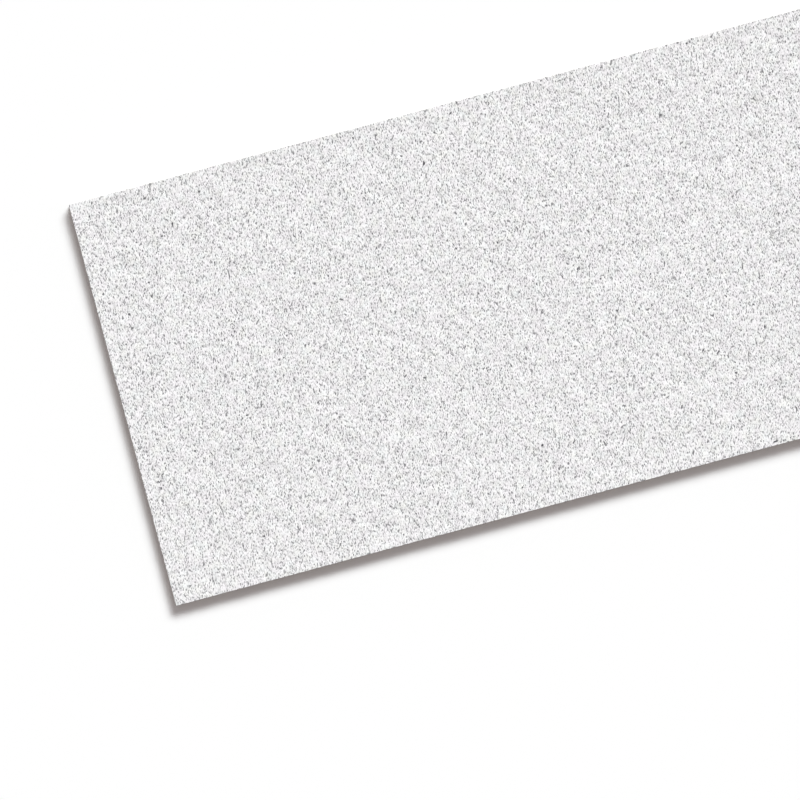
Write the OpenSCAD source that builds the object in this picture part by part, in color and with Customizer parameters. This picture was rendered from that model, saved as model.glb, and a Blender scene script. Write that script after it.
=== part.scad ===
// Suspended ceiling tile: a felted mineral-fibre board with a square lay-in edge and a granular
// painted face. It lies on its back with the face up.
// Millimetres. The origin is the middle of the back, X runs along the length, Y across the width
// and +Z out of the face.

/* [Board] */
// Length of the grid opening that the tile is made for
opening_length = 1219.2; // [600:0.1:1250]
// Width of the grid opening that the tile is made for
opening_width = 609.6; // [300:0.1:625]
// Play between the tile and its opening, both sides together
grid_play = 6.35; // [3:0.05:12]
// Thickness of the board from its back to its face
thickness = 15.875; // [12:0.005:25.4]

/* [Edges] */
// Bevel around the face, where the edge is eased under the paint
face_bevel = 0.8; // [0.4:0.1:2]
// Bevel around the back, left by sanding
back_bevel = 0.4; // [0.2:0.1:1]

/* [Texture] */
// Level rim between the face bevel and the texture, which lies on the flange of the grid
rim_width = 3; // [2:0.5:12]
// Depth below the rim at which the texture starts
texture_start = 0.1; // [0.05:0.05:0.3]
// Depth below the rim of the deepest hollow between the grains
texture_depth = 1.2; // [0.4:0.1:1.5]
// Mean spacing of the grains along the length
grain_spacing_x = 12; // [11:0.5:40]
// Mean spacing of the grains across the width
grain_spacing_y = 14; // [12:0.5:40]
// How far a grain strays from its even place, as a share of the spacing
grain_stray = 0.2; // [0:0.02:0.24]
// Bias of the hollows towards shallow ones, where 1 is even
hollow_bias = 1.5; // [1:0.25:4]
// Number that picks the pattern of grains
pattern_seed = 7; // [1:1:999]

/* [Hidden] */

board_length = opening_length - grid_play;
board_width = opening_width - grid_play;

// The textured field fills the face inside the bevel and the rim.
field_length = board_length - 2 * (face_bevel + rim_width);
field_width = board_width - 2 * (face_bevel + rim_width);
cells_x = round(field_length / grain_spacing_x);
cells_y = round(field_width / grain_spacing_y);
cell_length = field_length / cells_x;
cell_width = field_width / cells_y;

// One random depth and one random shift each way for every corner of the cells.
corner_count = (cells_x + 1) * (cells_y + 1);
depth_draws = rands(0, 1, corner_count, pattern_seed);
shift_draws_x = rands(-1, 1, corner_count, pattern_seed + 1);
shift_draws_y = rands(-1, 1, corner_count, pattern_seed + 2);

// How far the cutting shape of the texture stands clear of the face
cut_clearance = 1;

// Section of the board across a given width: square sides with the face and back bevelled.
module board_section(width) {
    half = width / 2;
    polygon([
        [back_bevel - half, 0],
        [half - back_bevel, 0],
        [half, back_bevel],
        [half, thickness - face_bevel],
        [half - face_bevel, thickness],
        [face_bevel - half, thickness],
        [-half, thickness - face_bevel],
        [-half, back_bevel],
    ]);
}

// The board before texturing: where the sections along and across it meet, so the bevels are mitred.
module board_blank() {
    intersection() {
        rotate([90, 0, 0])
            linear_extrude(board_width, center = true)
                board_section(board_length);
        rotate([90, 0, 90])
            linear_extrude(board_length, center = true)
                board_section(board_width);
    }
}

function corner_index(i, j) = i + j * (cells_x + 1);

function on_border(i, j) = i == 0 || i == cells_x || j == 0 || j == cells_y;

// Corner of the texture: on an even grid along the border, strayed and sunk at random inside it.
function texture_corner(i, j) =
    let (
        n = corner_index(i, j),
        free = on_border(i, j) ? 0 : 1,
        shift_x = free * grain_stray * cell_length * shift_draws_x[n],
        shift_y = free * grain_stray * cell_width * shift_draws_y[n],
        sink = free * (texture_depth - texture_start) * pow(depth_draws[n], hollow_bias)
    )
    [
        i * cell_length - field_length / 2 + shift_x,
        j * cell_width - field_width / 2 + shift_y,
        thickness - texture_start - sink
    ];

// The two triangles of a cell, split along alternate diagonals so that the texture has no lean.
function cell_triangles(i, j) =
    let (
        a = corner_index(i, j),
        b = corner_index(i + 1, j),
        c = corner_index(i + 1, j + 1),
        d = corner_index(i, j + 1)
    )
    (i + j) % 2 == 0 ? [[a, b, c], [a, c, d]] : [[a, b, d], [b, c, d]];

// What the texture takes off the board: everything over the grains, up to clear of the face.
module texture_cut() {
    lid = corner_count;
    lid_z = thickness + cut_clearance;
    corners = [
        for (j = [0:cells_y], i = [0:cells_x]) texture_corner(i, j),
        [-field_length / 2, -field_width / 2, lid_z],
        [field_length / 2, -field_width / 2, lid_z],
        [field_length / 2, field_width / 2, lid_z],
        [-field_length / 2, field_width / 2, lid_z],
    ];
    floor_faces = [
        for (j = [0:cells_y - 1], i = [0:cells_x - 1]) each cell_triangles(i, j)
    ];
    wall_faces = [
        [lid, lid + 1, for (i = [cells_x:-1:0]) corner_index(i, 0)],
        [lid + 1, lid + 2, for (j = [cells_y:-1:0]) corner_index(cells_x, j)],
        [lid + 2, lid + 3, for (i = [0:cells_x]) corner_index(i, cells_y)],
        [lid + 3, lid, for (j = [0:cells_y]) corner_index(0, j)],
    ];
    lid_face = [lid + 3, lid + 2, lid + 1, lid];
    polyhedron(corners, concat(floor_faces, wall_faces, [lid_face]));
}

module ceiling_tile() {
    color("WhiteSmoke")
        difference() {
            board_blank();
            texture_cut();
        }
}

ceiling_tile();
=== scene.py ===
"""Looks of the suspended ceiling tile, in metres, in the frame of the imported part.

The tile is one closed mesh that stands for the solid. The coarse relief of its face is read from the solid,
and the fine grain of the face, the worn arris and the saw-cut edges are added to it.
"""
import math

import bpy
import numpy as np
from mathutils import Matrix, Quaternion, Vector
from mathutils.bvhtree import BVHTree
from mathutils.geometry import delaunay_2d_cdt


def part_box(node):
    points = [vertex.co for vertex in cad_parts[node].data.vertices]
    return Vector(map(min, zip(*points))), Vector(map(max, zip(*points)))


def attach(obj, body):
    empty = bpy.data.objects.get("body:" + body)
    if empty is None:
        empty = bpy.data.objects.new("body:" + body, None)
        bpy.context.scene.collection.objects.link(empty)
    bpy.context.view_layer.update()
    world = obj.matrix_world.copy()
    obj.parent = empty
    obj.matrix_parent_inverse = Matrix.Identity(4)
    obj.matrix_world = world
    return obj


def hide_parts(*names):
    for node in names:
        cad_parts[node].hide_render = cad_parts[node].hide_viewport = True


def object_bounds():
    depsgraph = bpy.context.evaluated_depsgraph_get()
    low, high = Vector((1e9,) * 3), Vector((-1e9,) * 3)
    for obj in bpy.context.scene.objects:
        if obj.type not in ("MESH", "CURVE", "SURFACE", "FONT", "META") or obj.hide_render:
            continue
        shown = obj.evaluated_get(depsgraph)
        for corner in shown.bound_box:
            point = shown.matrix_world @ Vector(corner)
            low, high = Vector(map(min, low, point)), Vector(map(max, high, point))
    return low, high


MM = 0.001
NODE = "ceiling_tile"
SEED = 11

# Face: one vertex to a grain, strayed from a grid, with triangles drawn out along a lean
GRAIN_X = 1.9 * MM
GRAIN_Y = 4.26 * MM
GRAIN_STRAY = 0.45
GRAIN_SQUASH = 0.45
GRAIN_LEAN = math.radians(80)
GRAIN_ROUGHNESS = 0.07 * MM
FACE_LIFT = 0.1 * MM
FACE_MARGIN = 0.02 * MM
BORDER_STEP = 3.2 * MM
BORDER_STRAY = 0.3
BORDER_KEEP = 1.0 * MM

# Pits: some grains are sunk, more of them in some patches, and few next to each other
PIT_SHARE = 0.46
PIT_SHARE_SWING = 0.07
PIT_PATCH = 34 * MM
PIT_THINNING = 0.55
PIT_DEPTH = (0.1 * MM, 0.5 * MM)
PIT_FAINTEST = 0.3

# Edges: from the arris under the paint down to the back. A draw of wear below 0 leaves a vertex unworn
ARRIS_INSET = 0.15 * MM
ARRIS_DROP = 0.9 * MM
ARRIS_WANDER = 0.25 * MM
CHIP_MOST = 0.6 * MM
CHIP_FALL = 3
CHIP_SLOPE = 0.7
SAW_HEIGHTS = (0.68, 0.36)
SAW_WANDER = 0.6 * MM
SAW_ROUGHNESS = 0.3 * MM
WEAR_DRAWS = (-0.4, 1)
BACK_BEVEL = 0.4 * MM
BACK_WANDER = 0.15 * MM

# Bake map: where the face, the back and the strips of the edges lie on the unit square
FACE_BAND = (0.425, 0.995)
BACK_BAND = (0.1, 0.415)
LONG_EDGE_BANDS = ((0.005, 0.03), (0.035, 0.06))
SHORT_EDGE_BAND = (0.065, 0.09)
SIDE_BAND = (0.003, 0.997)
MAP_NAME = "OFBake"

# Materials: one for each surface, all of them matt
PAINT_SLOT, EDGE_SLOT, BACK_SLOT = range(3)
PAINT_ROUGHNESS = 0.9
EDGE_ROUGHNESS = 0.95
BACK_ROUGHNESS = 0.92
MATT_SPECULAR = 0.25

# Noise: the span that most of its values lie in, and a narrower one for stronger contrast
NOISE_SPAN = (0.3, 0.7)
NOISE_NARROW = (0.35, 0.65)

# Paint: white with faint clouds of colour, and near-black painted shade in the pits, dots and grit, where
# the paint is also scant
PAINT_WHITE = (0.98, 0.998, 1.0, 1)
PAINT_CREAM = (1.0, 0.998, 0.974, 1)
PAINT_MAUVE = (0.996, 0.973, 0.992, 1)
PIT_SHADE_GREY = (0.066, 0.063, 0.074, 1)
CREAM_SIZE = 14 * MM
MAUVE_SIZE = 17 * MM
PIT_SHADE_SPAN = (0.61, 0.73)

# Stipple: dots and grit of painted shade, standing for relief too fine for the mesh, drawn out along a lean,
# and the ragged outline of the flecks
STIPPLE_LEAN = math.radians(-10)
STIPPLE_LENGTH = 3.0
STIPPLE_DEPTH = 0.2 * MM
DOT_SIZE = 1.32 * MM
DOT_REACH = (0.5, 0.3)
DOT_DRAWS = (0.35, 0.75)
DOT_MOST = 0.9
GRIT_SIZE = 1.1 * MM
GRIT_SHADE_SPAN = (0.48, 0.36)
GRIT_MOST = 0.4
RAG_SIZE = 0.8 * MM
RAG_REACH = 0.2

# Raw board: felted layers and fibres that lie flat, and small voids darkened with painted shade
RAW_BUFF = (0.53, 0.475, 0.4, 1)
RAW_GREY = (0.37, 0.34, 0.3, 1)
RAW_PALE = (0.67, 0.62, 0.54, 1)
VOID_SHADE_BROWN = (0.16, 0.14, 0.12, 1)
LAYER_SIZE = 9 * MM
LAYER_FLATNESS = 6
FIBRE_SIZE = 1.4 * MM
FIBRE_FLATNESS = 3
FIBRE_MOST = 0.7
EDGE_VOID_SIZE = 3.2 * MM
EDGE_VOID_FLATNESS = 1.8
EDGE_VOID_SHARE = 0.3
EDGE_VOID_RADIUS = 0.3
EDGE_DEPTH = 0.5 * MM
VOID_FLOOR = 0.4
VOID_RAG = 0.7
VOID_RAG_SIZE = 0.25

# Lap of the paint over the arris: how far below the face it starts to thin, and where it ends
LAP_DROP = (1.4 * MM, 2.2 * MM)
LAP_RAG = 1.2 * MM
LAP_RAG_SIZE = 6 * MM

# Back: mottled, with the scratches of sanding along its length
MOTTLE_SIZE = 28 * MM
SCRATCH_SIZE = 1.2 * MM
SCRATCH_STRETCH = 0.03
SCRATCH_SPAN = (0.45, 0.75)
SCRATCH_MOST = 0.45
BACK_VOID_SIZE = 5 * MM
BACK_VOID_SHARE = 0.25
BACK_VOID_RADIUS = 0.22
BACK_DEPTH = 0.2 * MM

# Camera: straight down, with the tile turned on the picture
PICTURE_WIDTH = 1.1622
PICTURE_CENTRE = (-0.2149, -0.0968)
PICTURE_TURN = math.radians(-15)
LENS_MM = 200
SENSOR_MM = 36

# Light: a fan of soft lamps beyond the far right corner, and a slightly warm surround
KEY_FROM = (0.8, 1.08, 1.0)
KEY_FAN = tuple(math.radians(turn) for turn in (-13, 0, 13))
KEY_SPREAD = math.radians(20)
SURROUND_COLOUR = (1.06, 0.97, 0.965)
SURROUND_SHARE = 0.30
WHITE = (1, 1, 1, 1)
FLOOR_HALF = 60.0
FLOOR_DROP = 0.2 * MM
FLOOR_BOUNCE = (0.8, 0.8, 0.8, 1)

# Places of the factor and the two colours among a Mix node's inputs, and of the colour among its outputs
MIX_SHARE, MIX_FIRST, MIX_SECOND = 0, 6, 7
MIX_RESULT = 2


def value_noise(rng, x, y, cell):
    """Smooth random values from -1 to 1 at points x, y, with one draw to each cell of that size."""
    low_x, low_y = x.min(), y.min()
    across = int((x.max() - low_x) / cell) + 2
    along = int((y.max() - low_y) / cell) + 2
    draws = rng.uniform(-1, 1, (across + 1, along + 1))
    at_x = (x - low_x) / cell
    at_y = (y - low_y) / cell
    i = at_x.astype(int)
    j = at_y.astype(int)
    s = at_x - i
    t = at_y - j
    s = s * s * (3 - 2 * s)
    t = t * t * (3 - 2 * t)
    near = draws[i, j] * (1 - s) + draws[i + 1, j] * s
    far = draws[i, j + 1] * (1 - s) + draws[i + 1, j + 1] * s
    return near * (1 - t) + far * t


def relief_of(cad, places, top):
    """Height of the solid's face under each place."""
    tree = BVHTree.FromObject(cad, bpy.context.evaluated_depsgraph_get())
    start = 2 * top
    down = Vector((0, 0, -1))
    hits = [tree.ray_cast(Vector((x, y, start)), down)[0] for x, y in places]
    return np.array([top if hit is None else hit.z for hit in hits])


def border_places(rng, half):
    """Places along the border of the face, anticlockwise from -X, -Y, and how deep each one is chipped."""
    corners = half * [(-1, -1), (1, -1), (1, 1), (-1, 1)]
    places = []
    for start, stop in zip(corners, np.roll(corners, -1, 0)):
        steps = round(math.dist(start, stop) / BORDER_STEP)
        share = np.arange(steps) + rng.uniform(-BORDER_STRAY, BORDER_STRAY, steps)
        share[0] = 0
        share = share[:, None] / steps
        places.append(start * (1 - share) + stop * share)
    places = np.concatenate(places)
    chip = CHIP_MOST * rng.uniform(0, 1, len(places)) ** CHIP_FALL
    reach = half - ARRIS_INSET - chip[:, None]
    return np.clip(places, -reach, reach), chip


def grain_places(rng, half):
    """Places of the grains inside the border, strayed from a grid whose rows are offset like bricks."""
    keep_x, keep_y = half - BORDER_KEEP
    column, row = np.meshgrid(
        np.arange(math.ceil(2 * keep_x / GRAIN_X) + 1),
        np.arange(math.ceil(2 * keep_y / GRAIN_Y) + 1),
    )
    stray = rng.uniform(-GRAIN_STRAY, GRAIN_STRAY, (2, *column.shape))
    x = (column + row % 2 / 2 + stray[0]) * GRAIN_X - keep_x
    y = (row + stray[1]) * GRAIN_Y - keep_y
    inside = (np.abs(x) < keep_x) & (np.abs(y) < keep_y)
    return np.stack([x[inside], y[inside]], 1)


def leaning_triangles(places, border_count):
    """Triangles between the places, drawn out along the grain's lean. The border's places come first."""
    along = np.array([math.cos(GRAIN_LEAN), math.sin(GRAIN_LEAN)])
    across = np.array([along[1], -along[0]])
    squashed = np.stack([places @ across, places @ along * GRAIN_SQUASH], 1).astype(np.float32)
    ring = [(i, (i + 1) % border_count) for i in range(border_count)]
    triangles = np.array(delaunay_2d_cdt([Vector(p) for p in squashed], ring, [], 0, 0.0, False)[2])
    # Three places of the border that turn clockwise span a notch outside it
    first, second, third = np.moveaxis(squashed[np.sort(triangles, 1)].astype(float), 1, 0)
    (a, b), (c, d) = (second - first).T, (third - first).T
    notch = (triangles < border_count).all(1) & (a * d - b * c <= 0)
    return triangles[~notch]


def links_of(triangles):
    """The two ends of every side of the triangles."""
    return np.concatenate([triangles[:, [0, 1]], triangles[:, [1, 2]], triangles[:, [2, 0]]])


def chosen_pits(rng, places, triangles):
    """True for each place that is a pit, with few pits next to each other."""
    patch = value_noise(rng, places[:, 0], places[:, 1], PIT_PATCH)
    rank = rng.uniform(0, 1, len(places))
    pit = rank < PIT_SHARE + PIT_SHARE_SWING * patch
    links = links_of(triangles)
    both = links[pit[links].all(1)]
    later = both[np.arange(len(both)), np.argmax(rank[both], 1)]
    dropped = later[rng.uniform(0, 1, len(later)) < PIT_THINNING]
    pit[dropped] = False
    return pit


def spread(values, chosen, triangles):
    """The values of the chosen places, and for each other place the mean of the chosen ones linked to it."""
    total = np.where(chosen, values, 0)
    parts = chosen.astype(float)
    links = links_of(triangles)
    links = np.concatenate([links, links[:, ::-1]])
    links = links[~chosen[links[:, 0]] & chosen[links[:, 1]]]
    np.add.at(total, links[:, 0], values[links[:, 1]])
    np.add.at(parts, links[:, 0], 1)
    return total / np.maximum(parts, 1)


def face_of(rng, cad, half, top):
    """The face: its vertices, its triangles, how many vertices are its border's, and shares for its paint.

    The border's vertices come first. The shares say which vertices are pits, and how dark the painted shade
    of a pit is.
    """
    border, chip = border_places(rng, half)
    places = np.concatenate([border, grain_places(rng, half)])
    triangles = leaning_triangles(places, len(border))
    pit = chosen_pits(rng, places, triangles)
    strength = PIT_FAINTEST + (1 - PIT_FAINTEST) * rng.uniform(0, 1, len(places))
    rough = rng.normal(0, GRAIN_ROUGHNESS, len(places))
    height = np.minimum(relief_of(cad, places, top) + FACE_LIFT + rough, top - FACE_MARGIN)
    height -= np.where(pit, PIT_DEPTH[0] + (PIT_DEPTH[1] - PIT_DEPTH[0]) * strength, 0)
    height[:len(border)] = top - FACE_MARGIN - CHIP_SLOPE * chip
    shares = {"pit": pit, "pit_shade": spread(strength, pit, triangles)}
    return np.column_stack([places, height]), triangles, len(border), shares


def edge_rings(rng, border, half, top):
    """Rings round the tile, from the arris down to the back, with one vertex under each of the border's."""
    outer = np.where(half - np.abs(border) < BORDER_KEEP, np.sign(border) * half, border)
    # Height, inset, how far the height wanders, and how deep the ring is worn
    levels = (
        (top - ARRIS_DROP, 0.0, ARRIS_WANDER, ARRIS_INSET),
        *((share * top, 0.0, SAW_WANDER, SAW_ROUGHNESS) for share in SAW_HEIGHTS),
        (BACK_BEVEL + BACK_WANDER, 0.0, BACK_WANDER, SAW_ROUGHNESS),
        (0.0, BACK_BEVEL, 0.0, SAW_ROUGHNESS),
    )
    rings = []
    for level, inset, wander, wear in levels:
        worn = inset + np.clip(rng.uniform(*WEAR_DRAWS, len(border)), 0, 1) * wear
        height = level + rng.uniform(-1, 1, len(border)) * wander
        reach = half - worn[:, None]
        rings.append(np.column_stack([np.clip(outer, -reach, reach), height]))
    return rings


def tile_faces(triangles, face_count, border_count, ring_count):
    """The corners and the slot of every face: the face's triangles, the rings' quads and the back."""
    corners = triangles.tolist()
    slots = [PAINT_SLOT] * len(corners)
    ring_slots = [PAINT_SLOT, *[EDGE_SLOT] * (ring_count - 2), BACK_SLOT]
    upper = np.arange(border_count)
    for k, slot in enumerate(ring_slots):
        lower = face_count + k * border_count + np.arange(border_count)
        corners += np.stack([lower, np.roll(lower, -1), np.roll(upper, -1), upper], 1).tolist()
        slots += [slot] * border_count
        upper = lower
    corners.append(upper[::-1].tolist())
    slots.append(BACK_SLOT)
    return corners, slots


def sharpen_border(mesh, border_count):
    """Keeps the shading of the face and of the arris apart, along the border that they share."""
    ends = np.empty(2 * len(mesh.edges), np.int32)
    mesh.edges.foreach_get("vertices", ends)
    ends = ends.reshape(-1, 2)
    step = np.abs(ends[:, 1] - ends[:, 0])
    around = (ends < border_count).all(1) & ((step == 1) | (step == border_count - 1))
    mesh.edges.foreach_set("use_edge_sharp", around)


def add_share(mesh, name, share):
    """Keeps the shares of the face's vertices on the mesh under that name, with 0 for the other vertices."""
    padded = np.pad(share, (0, len(mesh.vertices) - len(share)))
    attribute = mesh.attributes.new(name, "FLOAT", "POINT")
    attribute.data.foreach_set("value", padded.astype(np.float32))


def within(share, band):
    """The place of a share along a band of the bake map."""
    return band[0] + np.clip(share, 0, 1) * (band[1] - band[0])


def add_bake_map(mesh, points, corners, slots, half, top):
    """Lays the face, the back and each edge out on a part of the unit square that is its own."""
    share_x, share_y = ((points[:, :2] + half) / (2 * half)).T
    share_z = points[:, 2] / top
    places = []
    for face, slot in zip(corners, slots):
        along = share_x[face]
        if slot == PAINT_SLOT:
            up = within(share_y[face], FACE_BAND)
        elif slot == BACK_SLOT:
            up = within(share_y[face], BACK_BAND)
        else:
            middle = points[face].mean(0)
            inward_x, inward_y = half - np.abs(middle[:2])
            if inward_x < inward_y:
                along = (share_y[face] + (middle[0] > 0)) / 2
                up = within(share_z[face], SHORT_EDGE_BAND)
            else:
                up = within(share_z[face], LONG_EDGE_BANDS[int(middle[1] > 0)])
        places.append(np.stack([within(along, SIDE_BAND), up], 1))
    bake_map = mesh.uv_layers.new(name=MAP_NAME)
    bake_map.uv.foreach_set("vector", np.concatenate(places).astype(np.float32).ravel())


def tile_mesh(cad):
    """The whole tile as one closed mesh, with a slot for each surface, smooth on its face alone."""
    rng = np.random.default_rng(SEED)
    half_x, half_y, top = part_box(NODE)[1]
    half = np.array([half_x, half_y])
    face, triangles, border_count, shares = face_of(rng, cad, half, top)
    rings = edge_rings(rng, face[:border_count, :2], half, top)
    points = np.concatenate([face, *rings])
    corners, slots = tile_faces(triangles, len(face), border_count, len(rings))

    mesh = bpy.data.meshes.new(NODE)
    mesh.from_pydata(points.tolist(), [], corners)
    mesh.polygons.foreach_set("material_index", np.array(slots, np.int32))
    mesh.polygons.foreach_set("use_smooth", np.arange(len(corners)) < len(triangles))
    mesh.update(calc_edges=True)
    sharpen_border(mesh, border_count)
    for name, share in shares.items():
        add_share(mesh, name, share)
    add_bake_map(mesh, points, corners, slots, half, top)
    mesh.validate()
    mesh.update()
    return mesh


def add_node(tree, kind, inputs=None, **settings):
    """A new node with these settings. An input is a value, or the socket that it is linked from."""
    made = tree.nodes.new(kind)
    for name, setting in settings.items():
        setattr(made, name, setting)
    for key, given in (inputs or {}).items():
        if isinstance(given, bpy.types.NodeSocket):
            tree.links.new(given, made.inputs[key])
        else:
            made.inputs[key].default_value = given
    return made


def new_material(name, roughness):
    """A matt material with its nodes, its shader and the object's own coordinates."""
    material = bpy.data.materials.new(name)
    material.use_nodes = True
    tree = material.node_tree
    shader = tree.nodes["Principled BSDF"]
    shader.inputs["Roughness"].default_value = roughness
    shader.inputs["Specular IOR Level"].default_value = MATT_SPECULAR
    place = add_node(tree, "ShaderNodeTexCoord").outputs["Object"]
    return material, tree, shader, place


def noise(tree, place, size, detail=2.0, roughness=0.5):
    """Noise from 0 to 1 with features of about that size."""
    inputs = {"Vector": place, "Scale": 1 / size, "Detail": detail, "Roughness": roughness}
    return add_node(tree, "ShaderNodeTexNoise", inputs).outputs["Fac"]


def stretched(tree, place, scale):
    """The coordinates scaled by a different factor along each axis."""
    return add_node(tree, "ShaderNodeMapping", {"Vector": place, "Scale": scale}).outputs["Vector"]


def ranged(tree, given, span, onto=(0.0, 1.0)):
    """A value carried from one span onto another, and held at its ends."""
    inputs = {"Value": given, "From Min": span[0], "From Max": span[1], "To Min": onto[0], "To Max": onto[1]}
    return add_node(tree, "ShaderNodeMapRange", inputs).outputs["Result"]


def maths(tree, operation, first, second):
    """One operation on two values."""
    return add_node(tree, "ShaderNodeMath", {0: first, 1: second}, operation=operation).outputs["Value"]


def mixed(tree, share, first, second):
    """A colour between two others."""
    inputs = {MIX_SHARE: share, MIX_FIRST: first, MIX_SECOND: second}
    return add_node(tree, "ShaderNodeMix", inputs, data_type="RGBA").outputs[MIX_RESULT]


def kept_share(tree, name):
    """A share that the mesh keeps under that name."""
    return add_node(tree, "ShaderNodeAttribute", attribute_name=name).outputs["Fac"]


def cells(tree, place, size):
    """Distance to the nearest of random points, in steps of that size, and a random value for that point."""
    made = add_node(tree, "ShaderNodeTexVoronoi", {"Vector": place, "Scale": 1 / size})
    drawn = add_node(tree, "ShaderNodeSeparateColor", {"Color": made.outputs["Color"]}).outputs["Red"]
    return made.outputs["Distance"], drawn


def voids(tree, place, size, share, radius):
    """1 inside small ragged holes, which a share of the cells of that size have, and 0 outside."""
    distance, drawn = cells(tree, place, size)
    chosen = maths(tree, "LESS_THAN", drawn, share)
    rag = noise(tree, place, size * VOID_RAG_SIZE)
    stray = ranged(tree, rag, NOISE_SPAN, (radius * VOID_RAG, -radius * VOID_RAG))
    inside = ranged(tree, maths(tree, "ADD", distance, stray), (radius, radius * VOID_FLOOR))
    return maths(tree, "MULTIPLY", chosen, inside)


def finish_shader(tree, shader, colour, height, depth):
    """Gives the shader its colour, and a bump on which a height of 1 is that depth in metres."""
    bump = add_node(tree, "ShaderNodeBump", {"Height": height, "Distance": depth})
    tree.links.new(colour, shader.inputs["Base Color"])
    tree.links.new(bump.outputs["Normal"], shader.inputs["Normal"])


def face_paint():
    """Flat white paint over the grains, darkened with painted shade in the pits, dots and grit, where the
    paint is also scant and the grey board shows through.
    """
    material, tree, shader, place = new_material("flat_white_paint", PAINT_ROUGHNESS)
    cream = ranged(tree, noise(tree, place, CREAM_SIZE), NOISE_NARROW)
    mauve = ranged(tree, noise(tree, place, MAUVE_SIZE), NOISE_NARROW)
    paint = mixed(tree, cream, PAINT_WHITE, PAINT_CREAM)
    paint = mixed(tree, mauve, paint, PAINT_MAUVE)

    leaning = add_node(
        tree,
        "ShaderNodeMapping",
        {"Vector": place, "Rotation": (0, 0, STIPPLE_LEAN), "Scale": (1, STIPPLE_LENGTH, 1)},
        vector_type="TEXTURE",
    ).outputs["Vector"]
    rag = noise(tree, place, RAG_SIZE)
    stray = ranged(tree, rag, NOISE_SPAN, (RAG_REACH, -RAG_REACH))
    # Painted shade: grit, dots and pits each give a share of darkening for the shade of relief that the mesh
    # lacks
    grit_shade = ranged(tree, noise(tree, leaning, GRIT_SIZE, detail=1.5), GRIT_SHADE_SPAN, (0.0, GRIT_MOST))
    distance, drawn = cells(tree, leaning, DOT_SIZE)
    dot = ranged(tree, maths(tree, "ADD", distance, stray), DOT_REACH)
    dot = maths(tree, "MULTIPLY", dot, ranged(tree, drawn, DOT_DRAWS, (0.0, DOT_MOST)))
    pit = ranged(tree, maths(tree, "ADD", kept_share(tree, "pit"), stray), PIT_SHADE_SPAN)
    pit = maths(tree, "MULTIPLY", pit, kept_share(tree, "pit_shade"))
    shade_and_thin_paint = maths(tree, "MAXIMUM", maths(tree, "MAXIMUM", pit, dot), grit_shade)

    # Painted shade: the paint goes towards near-black grey where those shares are high
    colour = mixed(tree, shade_and_thin_paint, paint, PIT_SHADE_GREY)
    finish_shader(tree, shader, colour, maths(tree, "SUBTRACT", rag, shade_and_thin_paint), STIPPLE_DEPTH)
    return material


def cut_edge(top):
    """Saw-cut board: felted layers, fibres and voids darkened with painted shade, with the face's paint
    lapping over the arris.
    """
    material, tree, shader, place = new_material("cut_mineral_fibre", EDGE_ROUGHNESS)
    lying = stretched(tree, place, (1, 1, LAYER_FLATNESS))
    layers = noise(tree, lying, LAYER_SIZE, detail=4.0, roughness=0.65)
    lying = stretched(tree, place, (1, 1, FIBRE_FLATNESS))
    fibres = noise(tree, lying, FIBRE_SIZE, detail=3.0, roughness=0.6)
    lying = stretched(tree, place, (1, 1, EDGE_VOID_FLATNESS))
    holes = voids(tree, lying, EDGE_VOID_SIZE, EDGE_VOID_SHARE, EDGE_VOID_RADIUS)
    board = mixed(tree, ranged(tree, layers, NOISE_SPAN), RAW_GREY, RAW_PALE)
    board = mixed(tree, ranged(tree, fibres, NOISE_SPAN, (0.0, FIBRE_MOST)), board, RAW_BUFF)
    # Painted shade: the voids are darkened to a brown-black
    board = mixed(tree, holes, board, VOID_SHADE_BROWN)

    height = add_node(tree, "ShaderNodeSeparateXYZ", {"Vector": place}).outputs["Z"]
    rag = noise(tree, place, LAP_RAG_SIZE, detail=3.0, roughness=0.6)
    ragged = maths(tree, "ADD", height, ranged(tree, rag, NOISE_SPAN, (-LAP_RAG, LAP_RAG)))
    lapped = ranged(tree, ragged, (top - LAP_DROP[1], top - LAP_DROP[0]))

    colour = mixed(tree, lapped, board, PAINT_WHITE)
    finish_shader(tree, shader, colour, maths(tree, "SUBTRACT", fibres, holes), EDGE_DEPTH)
    return material


def sanded_back():
    """The unpainted back, sanded along its length."""
    material, tree, shader, place = new_material("sanded_mineral_fibre", BACK_ROUGHNESS)
    mottle = noise(tree, place, MOTTLE_SIZE, detail=4.0, roughness=0.6)
    scratches = noise(tree, stretched(tree, place, (SCRATCH_STRETCH, 1, 1)), SCRATCH_SIZE)
    holes = voids(tree, place, BACK_VOID_SIZE, BACK_VOID_SHARE, BACK_VOID_RADIUS)
    board = mixed(tree, ranged(tree, mottle, NOISE_SPAN), RAW_BUFF, RAW_PALE)
    board = mixed(tree, ranged(tree, scratches, SCRATCH_SPAN, (0.0, SCRATCH_MOST)), board, RAW_GREY)
    # Painted shade: the voids are darkened to a brown-black
    colour = mixed(tree, holes, board, VOID_SHADE_BROWN)
    finish_shader(tree, shader, colour, maths(tree, "SUBTRACT", scratches, holes), BACK_DEPTH)
    return material


def make_tile(cad):
    """The tile itself, in place of the plain solid."""
    tile = bpy.data.objects.new("tile_board", tile_mesh(cad))
    bpy.context.scene.collection.objects.link(tile)
    for material in (face_paint(), cut_edge(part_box(NODE)[1].z), sanded_back()):
        tile.data.materials.append(material)
    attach(tile, "root")
    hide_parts(NODE)


def seen_directly(tree):
    """1 for what the camera sees, straight or by reflection or through glass, and 0 for bounced light."""
    path = add_node(tree, "ShaderNodeLightPath").outputs
    mirrored = maths(tree, "MAXIMUM", path["Is Glossy Ray"], path["Is Transmission Ray"])
    return maths(tree, "MAXIMUM", path["Is Camera Ray"], mirrored)


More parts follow.
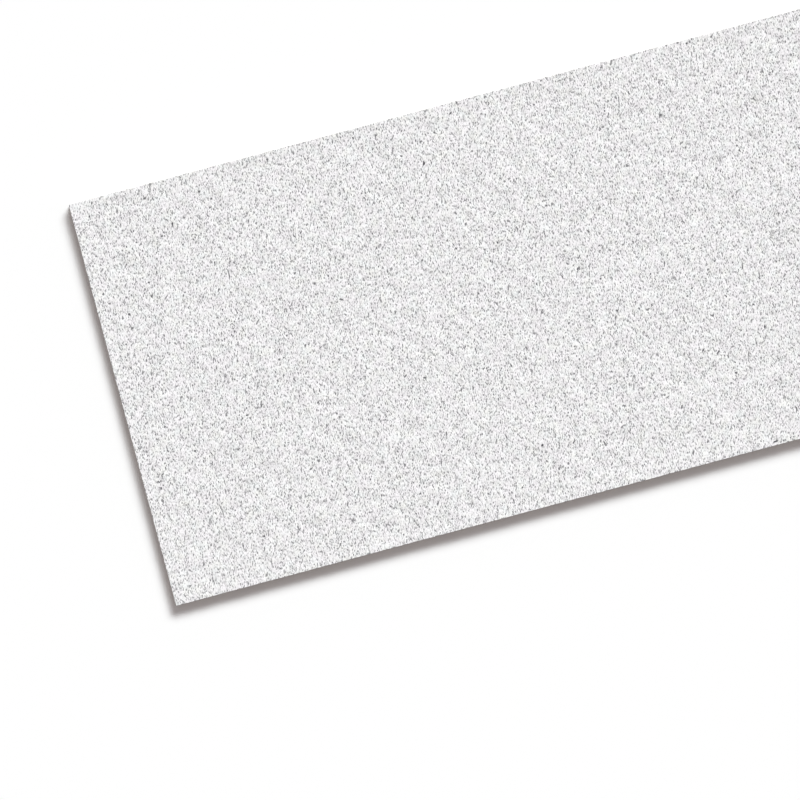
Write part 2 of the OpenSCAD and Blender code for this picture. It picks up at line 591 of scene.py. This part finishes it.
def make_floor():
    """A plain white floor, which throws back a little less light than it shows."""
    mesh = bpy.data.meshes.new("floor")
    half = FLOOR_HALF
    square = [(-half, -half, 0), (half, -half, 0), (half, half, 0), (-half, half, 0)]
    mesh.from_pydata(square, [], [(0, 1, 2, 3)])
    floor = bpy.data.objects.new("floor", mesh)
    floor.location.z = -FLOOR_DROP
    bpy.context.scene.collection.objects.link(floor)
    material = bpy.data.materials.new("white_floor")
    material.use_nodes = True
    tree = material.node_tree
    tree.nodes.clear()
    colour = mixed(tree, seen_directly(tree), FLOOR_BOUNCE, WHITE)
    shader = add_node(tree, "ShaderNodeBsdfDiffuse", {"Color": colour})
    add_node(tree, "ShaderNodeOutputMaterial", {"Surface": shader.outputs["BSDF"]})
    mesh.materials.append(material)


def make_light():
    """Lamps and a surround that together light a level white surface to a plain white."""
    world = bpy.data.worlds.new("surround")
    bpy.context.scene.world = world
    world.use_nodes = True
    tree = world.node_tree
    surround = (*(c * SURROUND_SHARE for c in SURROUND_COLOUR), 1)
    colour = mixed(tree, seen_directly(tree), surround, WHITE)
    tree.links.new(colour, tree.nodes["Background"].inputs["Color"])

    towards = Vector(KEY_FROM).normalized()
    sun = bpy.data.lights.new("key", "SUN")
    sun.energy = (1 - SURROUND_SHARE) * math.pi / towards.z / len(KEY_FAN)
    sun.color = [(1 - SURROUND_SHARE * c) / (1 - SURROUND_SHARE) for c in SURROUND_COLOUR]
    sun.angle = KEY_SPREAD
    for turn in KEY_FAN:
        key = bpy.data.objects.new("key", sun)
        key.rotation_mode = "QUATERNION"
        key.rotation_quaternion = Quaternion((0, 0, 1), turn) @ towards.to_track_quat("Z", "Y")
        bpy.context.scene.collection.objects.link(key)


def make_camera(top):
    """A long lens straight over the tile, turned as on the picture."""
    lens = bpy.data.cameras.new("camera")
    lens.lens = LENS_MM
    lens.sensor_width = SENSOR_MM
    camera = bpy.data.objects.new("camera", lens)
    camera.location = (*PICTURE_CENTRE, top + PICTURE_WIDTH * LENS_MM / SENSOR_MM)
    camera.rotation_euler = (0, 0, PICTURE_TURN)
    bpy.context.scene.collection.objects.link(camera)
    bpy.context.scene.camera = camera


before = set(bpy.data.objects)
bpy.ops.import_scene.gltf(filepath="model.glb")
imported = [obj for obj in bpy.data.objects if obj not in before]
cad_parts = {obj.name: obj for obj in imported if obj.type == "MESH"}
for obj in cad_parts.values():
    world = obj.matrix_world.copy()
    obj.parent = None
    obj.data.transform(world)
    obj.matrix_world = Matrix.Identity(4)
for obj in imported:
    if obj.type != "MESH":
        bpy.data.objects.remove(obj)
cad_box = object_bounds()
bpy.context.scene.view_settings.view_transform = "Standard"
make_camera(cad_box[1].z)
make_light()
make_floor()
make_tile(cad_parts[NODE])
